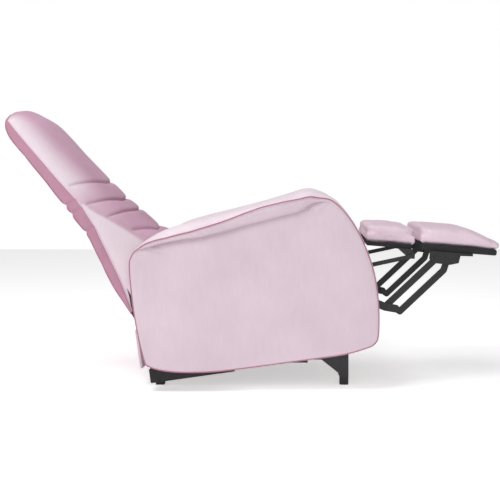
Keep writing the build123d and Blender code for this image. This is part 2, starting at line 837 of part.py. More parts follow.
with BuildPart() as mid_rest_pad:
    with BuildSketch(mid_side(0)):
        with BuildLine():
            low = mid_board_thickness + 0.3
            Polyline(
                (0, low),
                (0, mid_rest_thickness - 18),
                (20, mid_rest_thickness),
                (mid_rest_length - 46, mid_rest_thickness),
                (mid_rest_length - 12, mid_rest_thickness - 22),
                (mid_rest_length, low + 12),
                (mid_rest_length - 2, low),
                close=True,
            )
        make_face()
    extrude(amount=mid_rest_half_width, both=True)
    fillet(mid_rest_pad.edges().filter_by(Plane.XZ), 8)
keep("mid_rest_pad", mid_rest_pad.part)

with BuildPart() as mid_rest_lugs:
    for side_name, side in sides:
        with BuildSketch(mid_side(side * (lug_lane - 0.5))):
            with BuildLine():
                Polyline(
                    (mid_board_length - 50, -0.3),
                    (mid_pin_along - 10, -mid_pin_drop - 9),
                    (mid_pin_along + 8, -mid_pin_drop - 9),
                    (mid_pin_along + 8, -mid_pin_drop + 6),
                    (mid_board_length - 2, -0.3),
                    close=True,
                )
            make_face()
        extrude(amount=steel / 2, both=True)
        with BuildSketch(mid_side(side * (lug_lane - 0.5 - 12))):
            with Locations((mid_board_length - 27, -1.8)):
                Rectangle(50, 3)
        extrude(amount=12, both=True)
        with BuildSketch(mid_side(side * lug_lane)):
            with Locations((mid_pin_along, -mid_pin_drop)):
                Circle(pin_radius)
        extrude(amount=-side * (mid_lane - lug_lane + steel / 2 + 0.4))
keep("mid_rest_lugs", mid_rest_lugs.part)

# ---------------------------------------------------------------- centring and writing
boxes = [piece.bounding_box() for piece in pieces.values()]
rear_end = min(box.min.X for box in boxes)
front_end = max(box.max.X for box in boxes)
centre_x = (rear_end + front_end) / 2


def part_position(point):
    """A seat-frame point in the finished part's frame."""
    spot = seat_to_floor(point)
    return (spot[0] - centre_x, spot[1])


if __name__ == "__main__":
    os.makedirs("parts", exist_ok=True)
    for name, piece in pieces.items():
        placed = piece.moved(Location((-centre_x, 0, 0)))
        placed.label = name
        export_step(placed, f"parts/{name}.step")
    print(len(pieces), "nodes, length", round(front_end - rear_end), "middle", round(centre_x, 2))
    print("top", round(max(box.max.Z for box in boxes)), "lowest", round(min(box.min.Z for box in boxes), 2))
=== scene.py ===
# %% [markdown]
# # A glider nursery chair, reclined with its footrest out
#
# The chair is a padded seat between two upholstered arms, on a black steel base whose short
# hanging links let it glide. The steel work comes ready-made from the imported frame. This lesson
# makes the soft parts around it and gives every surface its finish.

# %% Load the frame
import json
import math

import bpy
import bmesh
from mathutils import Matrix, Vector, noise


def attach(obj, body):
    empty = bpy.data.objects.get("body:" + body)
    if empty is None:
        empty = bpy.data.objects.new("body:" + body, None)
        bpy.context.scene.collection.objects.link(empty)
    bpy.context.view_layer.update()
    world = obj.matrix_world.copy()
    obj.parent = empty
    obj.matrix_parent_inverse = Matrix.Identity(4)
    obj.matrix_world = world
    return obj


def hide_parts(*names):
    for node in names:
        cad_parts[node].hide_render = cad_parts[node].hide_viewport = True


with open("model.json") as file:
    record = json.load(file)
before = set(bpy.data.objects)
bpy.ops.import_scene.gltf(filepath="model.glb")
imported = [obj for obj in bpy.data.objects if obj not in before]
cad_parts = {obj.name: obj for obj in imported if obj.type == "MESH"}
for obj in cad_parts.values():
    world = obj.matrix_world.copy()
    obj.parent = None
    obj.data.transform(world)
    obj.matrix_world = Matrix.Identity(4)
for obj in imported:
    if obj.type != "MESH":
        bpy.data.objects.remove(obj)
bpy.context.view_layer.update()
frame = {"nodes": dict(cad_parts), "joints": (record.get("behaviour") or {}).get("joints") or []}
joints = {joint["name"]: joint for joint in frame["joints"]}

# %% [markdown]
# ## Where things are
#
# The seat leans back about the tilt shaft, the backrest leans further about its own hinge, and
# the footrest pads lie at a smaller angle in front. Each soft part is easiest to draw in the
# frame that it belongs to, upright, and then placed with one matrix. Sizes are written in
# millimetres, as an upholsterer would, and turned into metres at the last moment.

# %% The four working frames
MM = 0.001
SEAT_LEAN = math.radians(8.0)
BACK_LEAN = math.radians(20.0)
FOOT_DROP = math.radians(12.5)
FOOT_ORIGIN = (597 * MM, 0, 221 * MM)      # the near lower edges of the two footrest boards,
MID_ORIGIN = (424 * MM, 0, 259 * MM)       # in the seat's frame


def leaning(place, angle):
    """A frame at a place, leaned back by an angle about the chair's width."""
    return Matrix.Translation(Vector(place)) @ Matrix.Rotation(-angle, 4, "Y")


tilt_shaft = Vector(joints["recline"]["pos_m"])
tilt_shaft.y = 0
back_hinge = Vector(joints["back_recline"]["pos_m"])
back_hinge.y = 0
seat_frame = leaning(tilt_shaft, SEAT_LEAN)
back_frame = leaning(back_hinge, SEAT_LEAN + BACK_LEAN)
foot_frame = seat_frame @ leaning(FOOT_ORIGIN, -FOOT_DROP)
mid_frame = seat_frame @ leaning(MID_ORIGIN, -FOOT_DROP)
print("tilt shaft at", [round(v, 4) for v in tilt_shaft])
print("back hinge at", [round(v, 4) for v in back_hinge])

# %% [markdown]
# ## Camera
#
# The chair is seen square from its right side, a little above arm height. A lens shift keeps the
# verticals upright while the chair sits where it should in the picture.

# %% The camera
camera_data = bpy.data.cameras.new("camera")
camera_data.lens = 70.9
camera_data.sensor_width = 36
camera_data.shift_x = -0.10
camera_data.shift_y = -0.144
camera = bpy.data.objects.new("camera", camera_data)
camera.location = (0.1557, -3.520, 0.690)
camera.rotation_euler = (math.radians(90), 0, 0)
bpy.context.scene.collection.objects.link(camera)
bpy.context.scene.camera = camera
print("camera", tuple(round(v, 3) for v in camera.location), "lens", camera_data.lens)

# %% [markdown]
# ## Node materials
#
# Velvet is short pile: it is paler where it is seen along the pile, which a sheen lobe gives, and
# its colour drifts in soft patches where the pile lies different ways. The sheen is set on the
# shader's own sockets. The patches come from noise read in the object's own space, so they stay
# put when the part moves.


# %% Node helpers
def linear(red, green, blue):
    """A screen colour, 0 to 255, as the linear colour that a shader takes."""
    def one(value):
        value = value / 255
        return value / 12.92 if value <= 0.04045 else ((value + 0.055) / 1.055) ** 2.4
    return (one(red), one(green), one(blue), 1)


def start_material(name):
    """A fresh node material, with its shader and object coordinates."""
    material = bpy.data.materials.new(name)
    material.use_nodes = True
    tree = material.node_tree
    shader = tree.nodes["Principled BSDF"]
    coordinates = tree.nodes.new("ShaderNodeTexCoord").outputs["Object"]
    return material, tree, shader, coordinates


def stretched(tree, coordinates, scale, turn=0.0):
    """Object coordinates turned about the chair's width and stretched."""
    mapping = tree.nodes.new("ShaderNodeMapping")
    mapping.inputs["Rotation"].default_value = (0, turn, 0)
    mapping.inputs["Scale"].default_value = scale
    tree.links.new(coordinates, mapping.inputs["Vector"])
    return mapping.outputs["Vector"]


def noise_field(tree, coordinates, scale, detail=2.0, rough=0.5):
    """Soft noise, 0 to 1, at so many lumps to the metre."""
    field = tree.nodes.new("ShaderNodeTexNoise")
    field.inputs["Scale"].default_value = scale
    field.inputs["Detail"].default_value = detail
    field.inputs["Roughness"].default_value = rough
    tree.links.new(coordinates, field.inputs["Vector"])
    return field.outputs["Fac"]


def two_colours(tree, factor, low_colour, high_colour, low=0.35, high=0.65):
    """A ramp from one colour to another as a field rises from low to high."""
    ramp = tree.nodes.new("ShaderNodeValToRGB")
    ramp.color_ramp.elements[0].position = low
    ramp.color_ramp.elements[0].color = low_colour
    ramp.color_ramp.elements[1].position = high
    ramp.color_ramp.elements[1].color = high_colour
    tree.links.new(factor, ramp.inputs["Fac"])
    return ramp.outputs["Color"]


def blended(tree, kind, factor, first, second):
    """Two colours mixed in one of the usual blending ways."""
    mix = tree.nodes.new("ShaderNodeMix")
    mix.data_type = "RGBA"
    mix.blend_type = kind
    mix.inputs["Factor"].default_value = factor
    tree.links.new(first, mix.inputs["A"])
    tree.links.new(second, mix.inputs["B"])
    return mix.outputs["Result"]


def bump(tree, shader, height, strength, distance, under=None):
    """Fine relief on a shader, on top of another relief where one is given."""
    node = tree.nodes.new("ShaderNodeBump")
    node.inputs["Strength"].default_value = strength
    node.inputs["Distance"].default_value = distance
    tree.links.new(height, node.inputs["Height"])
    if under is not None:
        tree.links.new(under, node.inputs["Normal"])
    tree.links.new(node.outputs["Normal"], shader.inputs["Normal"])
    return node.outputs["Normal"]


def scaled(colour, factor):
    """A colour made darker or lighter by a factor."""
    return tuple(min(1.0, value * factor) for value in colour[:3]) + (1,)


# %% [markdown]
# ## Rose velvet
#
# One function makes every shade, so the cloth is the same everywhere and only its colour, its
# drift and its sheen change. The colours are lit and shaded copies of that one velvet: the arm
# tops, the pads and the pale welt are painted lighter where light falls on them, a painted
# highlight, and the backrest's front, its side bands and the dark welts are painted darker, a
# painted shade. The backrest has a second, paler colour that an attribute of its mesh calls up:
# a painted highlight on the sides of the front and on the bolsters, where they catch the light.

# %% Rose velvet in seven shades
def rose_velvet(name, colour, drift=0.08, sheen=0.45, turn=0.35, brushed_and_painted_light=None):
    """Velvet: soft drifting patches, faint pile streaks and a fine grain. Where the piece's
    attribute of painted light rises, the colour goes over to a second, paler one: a painted highlight."""
    material, tree, shader, coordinates = start_material(name)
    patches = noise_field(tree, coordinates, 5.5, 3, 0.55)
    base = two_colours(tree, patches, scaled(colour, 1 - drift), scaled(colour, 1 + drift), 0.3, 0.7)
    if brushed_and_painted_light:
        attribute = tree.nodes.new("ShaderNodeAttribute")
        attribute.attribute_name = "brushed_and_painted_light"
        painted_highlight_colour = two_colours(tree, patches, scaled(brushed_and_painted_light, 0.97), scaled(brushed_and_painted_light, 1.03), 0.3, 0.7)
        painted_light_mix = tree.nodes.new("ShaderNodeMix")
        painted_light_mix.data_type = "RGBA"
        tree.links.new(attribute.outputs["Fac"], painted_light_mix.inputs["Factor"])
        tree.links.new(base, painted_light_mix.inputs["A"])
        tree.links.new(painted_highlight_colour, painted_light_mix.inputs["B"])
        base = painted_light_mix.outputs["Result"]
    streaks = noise_field(tree, stretched(tree, coordinates, (90, 60, 22), turn), 1.0, 3, 0.6)
    streak_colour = two_colours(tree, streaks, (0.92, 0.9, 0.91, 1), (1, 1, 1, 1), 0.3, 0.7)
    tree.links.new(blended(tree, "MULTIPLY", 0.4, base, streak_colour), shader.inputs["Base Color"])
    pile = bump(tree, shader, noise_field(tree, coordinates, 900, 2, 0.6), 0.25, 0.0006)
    folds = noise_field(tree, stretched(tree, coordinates, (11, 11, 7), turn), 1.0, 2, 0.5)
    bump(tree, shader, folds, 0.22, 0.010, pile)
    shader.inputs["Roughness"].default_value = 0.88
    shader.inputs["Specular IOR Level"].default_value = 0.22
    shader.inputs["Sheen Weight"].default_value = sheen
    shader.inputs["Sheen Roughness"].default_value = 0.45
    shader.inputs["Sheen Tint"].default_value = (1.0, 0.86, 0.93, 1)
    return material


# painted highlight: the paler rose painted on the backrest's sides and bolsters where they catch the light
painted_highlight_rose = linear(228, 213, 221)
# one velvet in seven colours: the arm tops, pads and pale welt are painted lighter (painted highlight); the
# cushion front, bands and dark welts are painted darker (painted shade)
panel_velvet = rose_velvet("arm_panel_velvet", linear(212, 194, 204), 0.05, 0.2)
painted_highlight_arm_top_velvet = rose_velvet("painted_highlight_arm_top_velvet", linear(234, 220, 228), 0.05, 0.2)
cushion_velvet = rose_velvet("cushion_velvet", linear(199, 158, 180), 0.07, 0.12, brushed_and_painted_light=painted_highlight_rose)
painted_highlight_pad_velvet = rose_velvet("painted_highlight_pad_velvet", linear(230, 208, 220), 0.06, 0.2)
band_velvet = rose_velvet("band_velvet", linear(186, 139, 159), 0.10, 0.12)
painted_shade_welt_velvet = rose_velvet("painted_shade_welt_velvet", linear(176, 118, 138), 0.05, 0.1)
painted_highlight_welt_velvet = rose_velvet("painted_highlight_welt_velvet", linear(226, 200, 212), 0.05, 0.2)
print("seven shades of rose velvet")

# %% [markdown]
# ## Steel, cloth, timber and rubber
#
# The frame is powder coated: nearly black, with a fine orange-peel skin that breaks its
# highlight. Pins and bolts are zinc-plated and brushed round. The dust cloth under the seat is a
# plain weave, so two crossed waves make its threads.


# %% Hard finishes
def powder_coat(name, colour, roughness):
    """Black powder coat, with a fine orange-peel skin."""
    material, tree, shader, coordinates = start_material(name)
    wear = noise_field(tree, coordinates, 14, 4, 0.6)
    skin = two_colours(tree, wear, scaled(colour, 0.8), scaled(colour, 1.35))
    tree.links.new(skin, shader.inputs["Base Color"])
    shader.inputs["Roughness"].default_value = roughness
    shader.inputs["Specular IOR Level"].default_value = 0.45
    bump(tree, shader, noise_field(tree, coordinates, 700, 2, 0.5), 0.18, 0.0005)
    return material


def zinc_plate(name):
    """Zinc-plated steel, brushed in fine lines."""
    material, tree, shader, coordinates = start_material(name)
    brushed_and_painted_light = noise_field(tree, stretched(tree, coordinates, (60, 900, 60)), 1.0, 3, 0.6)
    tint = two_colours(tree, brushed_and_painted_light, (0.30, 0.30, 0.31, 1), (0.52, 0.52, 0.53, 1))
    tree.links.new(tint, shader.inputs["Base Color"])
    shader.inputs["Metallic"].default_value = 1.0
    shader.inputs["Roughness"].default_value = 0.34
    bump(tree, shader, brushed_and_painted_light, 0.12, 0.0004)
    return material


def woven(name, warp_colour, weft_colour, threads, roughness=0.9):
    """A plain weave: two sets of ridges crossed in the object's own space."""
    material, tree, shader, coordinates = start_material(name)
    heights = []
    for direction in ("X", "Y"):
        wave = tree.nodes.new("ShaderNodeTexWave")
        wave.bands_direction = direction
        wave.inputs["Scale"].default_value = threads
        wave.inputs["Distortion"].default_value = 0.6
        tree.links.new(coordinates, wave.inputs["Vector"])
        heights.append(wave.outputs["Fac"])
    cross = tree.nodes.new("ShaderNodeMath")
    cross.operation = "MULTIPLY"
    tree.links.new(heights[0], cross.inputs[0])
    tree.links.new(heights[1], cross.inputs[1])
    threads_colour = two_colours(tree, cross.outputs[0], warp_colour, weft_colour, 0.1, 0.6)
    tree.links.new(threads_colour, shader.inputs["Base Color"])
    shader.inputs["Roughness"].default_value = roughness
    bump(tree, shader, cross.outputs[0], 0.5, 0.0008)
    return material


def ply_timber(name):
    """Plywood, with grain stretched along the board."""
    material, tree, shader, coordinates = start_material(name)
    rings = noise_field(tree, stretched(tree, coordinates, (4, 26, 60)), 1.0, 5, 0.6)
    grain = two_colours(tree, rings, linear(150, 110, 72), linear(196, 158, 112), 0.35, 0.65)
    tree.links.new(grain, shader.inputs["Base Color"])
    shader.inputs["Roughness"].default_value = 0.5
    bump(tree, shader, rings, 0.25, 0.0008)
    return material


def soft_black(name, colour, roughness, grain):
    """Rubber or felt: a matt dark colour with a mottled grain."""
    material, tree, shader, coordinates = start_material(name)
    fibres = noise_field(tree, coordinates, grain, 3, 0.6)
    mottled = two_colours(tree, fibres, scaled(colour, 0.7), scaled(colour, 1.4))
    tree.links.new(mottled, shader.inputs["Base Color"])
    shader.inputs["Roughness"].default_value = roughness
    bump(tree, shader, fibres, 0.35, 0.0008)
    return material


finishes = {
    "black_steel": powder_coat("powder_coated_steel", (0.0105, 0.011, 0.0125, 1), 0.42),
    "bright_steel": zinc_plate("zinc_plated_steel"),
    "black_cloth": woven("dust_cloth", (0.008, 0.008, 0.009, 1), (0.03, 0.03, 0.032, 1), 300),
    "timber": ply_timber("ply_timber"),
    "rubber": soft_black("moulded_rubber", (0.016, 0.016, 0.017, 1), 0.72, 260),
    "felt": soft_black("grey_felt", (0.05, 0.05, 0.052, 1), 0.95, 900),
    # the CAD's velvet slots: the panel's colour, and the cushion and band copies painted darker as painted
    # shade
    "arm_velvet": panel_velvet,
    "cushion_velvet": cushion_velvet,
    "band_velvet": band_velvet,
}
for piece in frame["nodes"].values():
    for index, socket in enumerate(piece.material_slots):
        wanted = [key for key in finishes if socket.material and socket.material.name.startswith(key)]
        if wanted:
            piece.material_slots[index].material = finishes[wanted[0]]
sockets = [socket for piece in frame["nodes"].values() for socket in piece.material_slots]
print("slots:", sorted({socket.material.name for socket in sockets if socket.material}))

# %% [markdown]
# ## Lines and soft shapes
#
# Upholstery is cut to smooth lines, so each outline is a short list of points that a curve runs
# through. Every cushion here starts from a grid, a cube or one loop of edges, is shaped, and is
# then closed and smoothed.


# %% Smooth lines
def eased(value, low, high):
    """0 below low, 1 above high, and a smooth rise between."""
    t = min(1.0, max(0.0, (value - low) / (high - low)))
    return t * t * (3 - 2 * t)


def between(value, table):
    """The height of a line of (place, height) pairs at a place."""
    if value <= table[0][0]:
        return table[0][1]
    for (x0, y0), (x1, y1) in zip(table, table[1:]):
        if value <= x1:
            return y0 + (y1 - y0) * (value - x0) / (x1 - x0)
    return table[-1][1]


def smooth_step(a, b, c, d, t):
    """The place at share t between b and c on a smooth curve through all four."""
    return 0.5 * (2 * b + (c - a) * t + (2 * a - 5 * b + 4 * c - d) * t * t
                  + (3 * b - a - 3 * c + d) * t ** 3)


def smooth_line(points, count, closed=False, samples=16):
    """Evenly spaced points on a smooth curve through the given ones."""
    given = [Vector(p) for p in points]
    n = len(given)
    fine = []
    for i in range(n if closed else n - 1):
        if closed:
            a, b, c, d = (given[(i + k) % n] for k in (-1, 0, 1, 2))
        else:
            a, b, c, d = (given[min(n - 1, max(0, i + k))] for k in (-1, 0, 1, 2))
        for s in range(samples):
            fine.append(smooth_step(a, b, c, d, s / samples))
    fine.append(given[0] if closed else given[-1])
    lengths = [0.0]
    for p, q in zip(fine, fine[1:]):
        lengths.append(lengths[-1] + (q - p).length)
    total = lengths[-1]
    line, j = [], 0
    for i in range(count):
        wanted = total * i / (count if closed else count - 1)
        while j < len(lengths) - 2 and lengths[j + 1] < wanted:
            j += 1
        span = lengths[j + 1] - lengths[j]
        line.append(fine[j].lerp(fine[j + 1], (wanted - lengths[j]) / span if span else 0))
    return line


# %% [markdown]
# ## From a shape to a piece
#
# Every soft part ends in the same way: its faces are turned outward and shaded smooth, a
# subdivision rounds it, and it is tied to the body that it moves with. A welt is simpler: it
# is a thin round tube through the points of its seam.

# %% Finishing a piece
def finished(name, mesh_bmesh, materials, body, replaced=(), levels=1):
    """Turn a bmesh into a piece that rides a body, with its finish and what it stands for."""
    bmesh.ops.recalc_face_normals(mesh_bmesh, faces=mesh_bmesh.faces)
    mesh = bpy.data.meshes.new(name)
    mesh_bmesh.to_mesh(mesh)
    mesh_bmesh.free()
    for material in materials:
        mesh.materials.append(material)
    mesh.polygons.foreach_set("use_smooth", [True] * len(mesh.polygons))
    piece = bpy.data.objects.new(name, mesh)
    bpy.context.scene.collection.objects.link(piece)
    if levels:
        smoother = piece.modifiers.new("smooth", "SUBSURF")
        smoother.levels = levels
        smoother.render_levels = levels
        smoother.use_limit_surface = False
    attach(piece, body)
    if replaced:
        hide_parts(*replaced)
    print(name, len(mesh.polygons), "faces on", body)
    return piece


def welt(name, points, radius, material, body, closed=False):
    """A round welt sewn along a seam, made as a thin tube through its points."""
    curve = bpy.data.curves.new(name, "CURVE")
    curve.dimensions = "3D"
    curve.bevel_depth = radius
    curve.bevel_resolution = 2
    curve.use_fill_caps = True
    spline = curve.splines.new("POLY")
    spline.points.add(len(points) - 1)
    for spot, point in zip(spline.points, points):
        spot.co = (*point, 1)
    spline.use_cyclic_u = closed
    holder = bpy.data.objects.new(name + "_line", curve)
    bpy.context.scene.collection.objects.link(holder)
    bpy.context.view_layer.update()
    mesh = bpy.data.meshes.new_from_object(holder)
    bpy.data.objects.remove(holder)
    mesh.name = name
    mesh.materials.clear()
    mesh.materials.append(material)
    mesh.polygons.foreach_set("use_smooth", [True] * len(mesh.polygons))
    piece = bpy.data.objects.new(name, mesh)
    bpy.context.scene.collection.objects.link(piece)
    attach(piece, body)
    print(name, len(points), "points on", body)
    return piece

# %% [markdown]
# ## The arms
#
# Each arm is a deep upholstered slab. Its top is a padded roll that stands out over the outer
# panel, a piping runs along the roll, and the panel's cloth tucks back in below it. The same
# outline serves all of this: one loop of edges is pushed across the arm's thickness again and
# again, a little nearer or further from the outline each time, and the roll's weight fades out
# at the front, the bottom and the rear.

# %% The arm's outline and its sewing lines
ARM_OUTLINE = [
    (-352, 300), (-357, 150), (-347, 10), (-328, -24), (-254, -50), (-141, -66), (-26, -70),
    (147, -71), (291, -71), (368, -61), (398, -51), (416, -22), (430, 74), (430, 178), (410, 279),
    (380, 358), (338, 425), (290, 456), (246, 467), (163, 455), (-14, 431), (-131, 418),
    (-219, 405), (-279, 385), (-311, 366), (-337, 344),
]
PIPING_DEPTH = [(-325, 4), (-287, 9), (-221, 23), (-139, 26), (-40, 21), (40, 13), (100, 9),
                (172, 12), (224, 19), (287, 17), (322, 9), (380, 4)]
CREASE_DEPTH = [(-325, 6), (-279, 26), (-230, 36), (-110, 50), (22, 48), (121, 50), (209, 53),
                (253, 46), (300, 26), (335, 13), (390, 7)]
ARM_LOOP = 260
arm_line = smooth_line([(x, z, 0) for x, z in ARM_OUTLINE], ARM_LOOP, closed=True)
arm_inward = []
for i in range(ARM_LOOP):
    along = arm_line[(i + 2) % ARM_LOOP] - arm_line[i - 2]
    arm_inward.append(Vector((-along.y, along.x, 0)).normalized())
arm_centre = Vector((40, 190, 0))
print("arm outline", ARM_LOOP, "points")

# %% [markdown]
# ## One arm, ring by ring
#
# The arm grows like a stack of rings, from its inner face out to its panel. Each ring says how
# far it lies inside the outline and how far out across the arm, both where the roll is full
# and where it has faded out. Smaller rings then close the two flat ends.

# %% The rings of one arm
# (share of the way from edge to piping, share from piping to crease, reach on the roll, reach at the edge)
ARM_RINGS = [
    (3.0, 0, 270.5, 270.5), (1.2, 0, 271, 271), (0.35, 0, 276, 274), (0.0, 0, 288, 282),
    (-0.12, 0, 308, 300), (-0.15, 0, 330, 322), (-0.05, 0, 350, 342), (0.25, 0, 366, 354),
    (0.6, 0, 377, 361), (0.9, 0, 382.5, 364.5), (1.0, 0.0, 383, 366), (1.0, 0.10, 383.5, 366.6),
    (1.0, 0.32, 384.5, 367.2), (1.0, 0.55, 382.5, 367.6), (1.0, 0.76, 377, 368), (1.0, 0.91, 369, 368.2),
    (1.0, 1.0, 360.5, 368.4), (1.0, 1.08, 359.5, 368.6), (1.0, 1.22, 362.5, 368.8), (1.0, 1.5, 366, 369),
    (1.0, 2.0, 369.6, 369.6),
]


def roll_weight(index):
    """How far the padded roll is formed at this point of the outline, 0 to 1."""
    x = arm_line[index].x
    facing_up = eased(-arm_inward[index].y, 0.15, 0.8)
    return facing_up * eased(x, -335, -255) * (1 - eased(x, 235, 350))


def arm_depths(index):
    """The piping's and the crease's depth below the outline, in millimetres."""
    x = arm_line[index].x
    top = eased(-arm_inward[index].y, 0.1, 0.6)
    piping = 4 + top * (between(x, PIPING_DEPTH) - 4)
    crease = 9 + top * (between(x, CREASE_DEPTH) - 9)
    return piping, max(crease, piping + 4)


def gathers(x, z, weight):
    """Small folds where the roll's cloth is gathered at its two ends."""
    front = math.exp(-((x - 300) ** 2 + (z - 405) ** 2) / 70 ** 2)
    rear = math.exp(-((x + 262) ** 2 + (z - 352) ** 2) / 55 ** 2)
    fan_front = math.sin(11 * math.atan2(z - 380, x - 250))
    fan_rear = math.sin(12 * math.atan2(z - 345, x + 235))
    return 1.6 * front * fan_front + 1.6 * rear * fan_rear


def grow(bm, loop, spots, material_index):
    """Extrude a closed loop of edges once and put its new vertices where they belong."""
    edges = [bm.edges.get((loop[i - 1], loop[i])) for i in range(len(loop))]
    place_of = {vert: i for i, vert in enumerate(loop)}
    grown = bmesh.ops.extrude_edge_only(bm, edges=edges)["geom"]
    new_loop = [None] * len(loop)
    for part in grown:
        if isinstance(part, bmesh.types.BMFace):
            part.material_index = material_index
        if isinstance(part, bmesh.types.BMVert):
            for edge in part.link_edges:
                source = edge.other_vert(part)
                if source in place_of:
                    new_loop[place_of[source]] = part
    for vert, spot in zip(new_loop, spots):
        vert.co = spot
    return new_loop


def first_loop(bm, spots):
    """The closed loop of edges that a slab grows from."""
    loop = [bm.verts.new(spot) for spot in spots]
    for i in range(len(loop)):
        bm.edges.new((loop[i - 1], loop[i]))
    return loop


def close_holes(bm):
    """Close the open ends with flat faces."""
    bmesh.ops.holes_fill(bm, edges=[edge for edge in bm.edges if edge.is_boundary], sides=0)
    print("closed the open ends")


CLOSING_SHARES = (0.93, 0.84, 0.73, 0.6, 0.46, 0.32, 0.18, 0.07)   # rings inside the last one
# the inner face and the roll up to the piping wear the arm-top velvet, painted lighter: a painted highlight
# from the light above
FIRST_PANEL_RING = 12                      # rings from here on wear the panel's velvet
PIPING_ON_PANEL, PIPING_ON_ROLL = 366.5, 384.5   # how far out the piping lies, in millimetres


def panel_swell(x, z):
    """The outer panel's slack: long shallow swells and a few pulls below the front of the roll."""
    broad = 1.6 * noise.noise(Vector((x * 0.006, z * 0.006, 3.1)))
    pull = math.exp(-((x - 300) / 90) ** 2 - ((z - 330) / 90) ** 2)
    return broad + 1.3 * pull * math.sin((x + 0.9 * z) * 0.085)


def arm_slab(side):
    """One arm, built out from its inner face to its outer panel."""
    bm = bmesh.new()
    weights = [roll_weight(i) for i in range(ARM_LOOP)]
    depths = [arm_depths(i) for i in range(ARM_LOOP)]

    def spot(index, ring, share=1.0):
        to_piping, to_crease, roll_reach, edge_reach = ring
        piping, crease = depths[index]
        depth = to_piping * piping + to_crease * (crease - piping)
        p = arm_line[index] + arm_inward[index] * depth
        p = arm_centre.lerp(p, share)
        reach = edge_reach + (roll_reach - edge_reach) * weights[index]
        if to_crease > 0.3:
            reach += gathers(p.x, p.y, weights[index]) + panel_swell(p.x, p.y) * eased(to_crease, 1.0, 2.0)
        return seat_frame @ (Vector((p.x, side * reach, p.y)) * MM)

    def ring_spots(ring, share=1.0):
        return [spot(i, ring, share) for i in range(ARM_LOOP)]

    loop = first_loop(bm, ring_spots(ARM_RINGS[0], CLOSING_SHARES[-1]))
    for share in reversed(CLOSING_SHARES[:-1]):
        loop = grow(bm, loop, ring_spots(ARM_RINGS[0], share), 1)
    for number, ring in enumerate(ARM_RINGS):
        loop = grow(bm, loop, ring_spots(ring), 0 if number >= FIRST_PANEL_RING else 1)
    for share in CLOSING_SHARES:
        loop = grow(bm, loop, ring_spots(ARM_RINGS[-1], share), 0)
    close_holes(bm)
    return bm


def arm_piping(side):
    """The points of the piping, on the roll along the top and on the panel's edge elsewhere."""
    points = []
    for i in range(ARM_LOOP):
        piping, _ = arm_depths(i)
        p = arm_line[i] + arm_inward[i] * piping
        reach = PIPING_ON_PANEL + (PIPING_ON_ROLL - PIPING_ON_PANEL) * roll_weight(i)
        points.append(seat_frame @ (Vector((p.x, side * reach, p.y)) * MM))
    return points


for side_name, side in (("right", -1), ("left", 1)):
    finished(f"upholstered_arm_{side_name}", arm_slab(side), [panel_velvet, painted_highlight_arm_top_velvet], "seat",
             (f"arm_cushion_{side_name}", f"arm_roll_{side_name}"), 1)
    welt(f"arm_piping_{side_name}", arm_piping(side), 2.1 * MM, painted_shade_welt_velvet, "seat", True)

# %% [markdown]
# ## The backrest
#
# The back is a tall padded shell: a plain band of cloth down each side, a channelled cushion in
# front whose lumbar part swells forward, and a smooth headrest that rises in the middle. A grid
# wraps around it once. Each row of the grid is one height, and a short table says where the side
# seam, the middle of the front and the rear lie at that height. Rows on a sewn channel are pulled
# in, and the rows between them swell.

# %% The backrest's table of heights
# side seam (x, z), middle of the front (x, z), rear corner (x, z), middle of the rear (x, z), half width
BACK_ROWS = [
    ((-34, 34), (110, 30), (-41, 27), (-46, 27), 256),
    ((-27, 75), (164, 82), (-45, 75), (-54, 75), 258),
    ((-20, 130), (188, 135), (-50, 130), (-60, 130), 259),
    ((-16, 205), (184, 190), (-50, 200), (-60, 200), 259),
    ((-13, 292), (138, 238), (-46, 292), (-56, 285), 259),
    ((-11, 325), (117, 284), (-46, 322), (-58, 320), 259),
    ((-12, 353), (101, 335), (-50, 352), (-62, 350), 259),
    ((-15, 386), (87, 362), (-57, 386), (-68, 384), 259),
    ((-18, 420), (75, 390), (-62, 422), (-74, 420), 259),
    ((-26, 458), (63, 430), (-69, 458), (-82, 456), 259),
    ((-37, 500), (53, 470), (-77, 500), (-90, 498), 259),
    ((-50, 552), (33, 540), (-85, 548), (-98, 546), 259),
    ((-64, 615), (12, 615), (-98, 612), (-110, 612), 259),
    ((-79, 680), (-5, 685), (-112, 680), (-124, 684), 258),
    ((-91, 733), (-24, 748), (-122, 730), (-136, 742), 255),
    ((-99, 768), (-50, 792), (-122, 765), (-142, 792), 248),
    ((-104, 785), (-76, 826), (-116, 786), (-138, 826), 238),
    ((-109, 792), (-112, 842), (-112, 792), (-122, 842), 226),
]
CHANNEL_ROWS = (4, 6, 8, 10)
# the bolster's inner seam, as a share of the half width at each row
BOLSTER_LINE = [(0, 0.66), (2, 0.68), (4, 0.77), (5, 0.82), (6, 0.87), (7, 0.925), (8.2, 0.985)]
BOLSTER_TOP = BOLSTER_LINE[-1][0]   # the row where the bolsters run out
ROW_STEPS = 9
GUSSET_STEPS = 8
FRONT_STEPS = 72
REAR_STEPS = 24


def back_row(v):
    """The backrest's table read between its rows, on a smooth line."""
    i = min(len(BACK_ROWS) - 2, int(v))
    t = v - i
    rows = [BACK_ROWS[min(len(BACK_ROWS) - 1, max(0, i + k))] for k in (-1, 0, 1, 2)]
    points = []
    for column in range(4):
        points.append(tuple(smooth_step(*(row[column][axis] for row in rows), t) for axis in range(2)))
    return (*points, smooth_step(*(row[4] for row in rows), t))


def from_channel(v):
    """The distance in rows to the nearest sewn channel, and how full the cloth is between two."""
    nearest = min(abs(v - row) for row in CHANNEL_ROWS)
    if CHANNEL_ROWS[0] <= v <= CHANNEL_ROWS[-1]:
        fullness = math.sqrt(math.sin(math.pi * ((v - CHANNEL_ROWS[0]) % 2) / 2) + 1e-6)
    else:
        fullness = min(1.0, nearest / 1.5)
        fullness = math.sqrt(fullness * (2 - fullness))
    return nearest, fullness


def channel_spacing(v):
    """How far apart the rows are near here, in millimetres."""
    i = min(len(BACK_ROWS) - 2, int(v))
    return BACK_ROWS[i + 1][1][1] - BACK_ROWS[i][1][1]


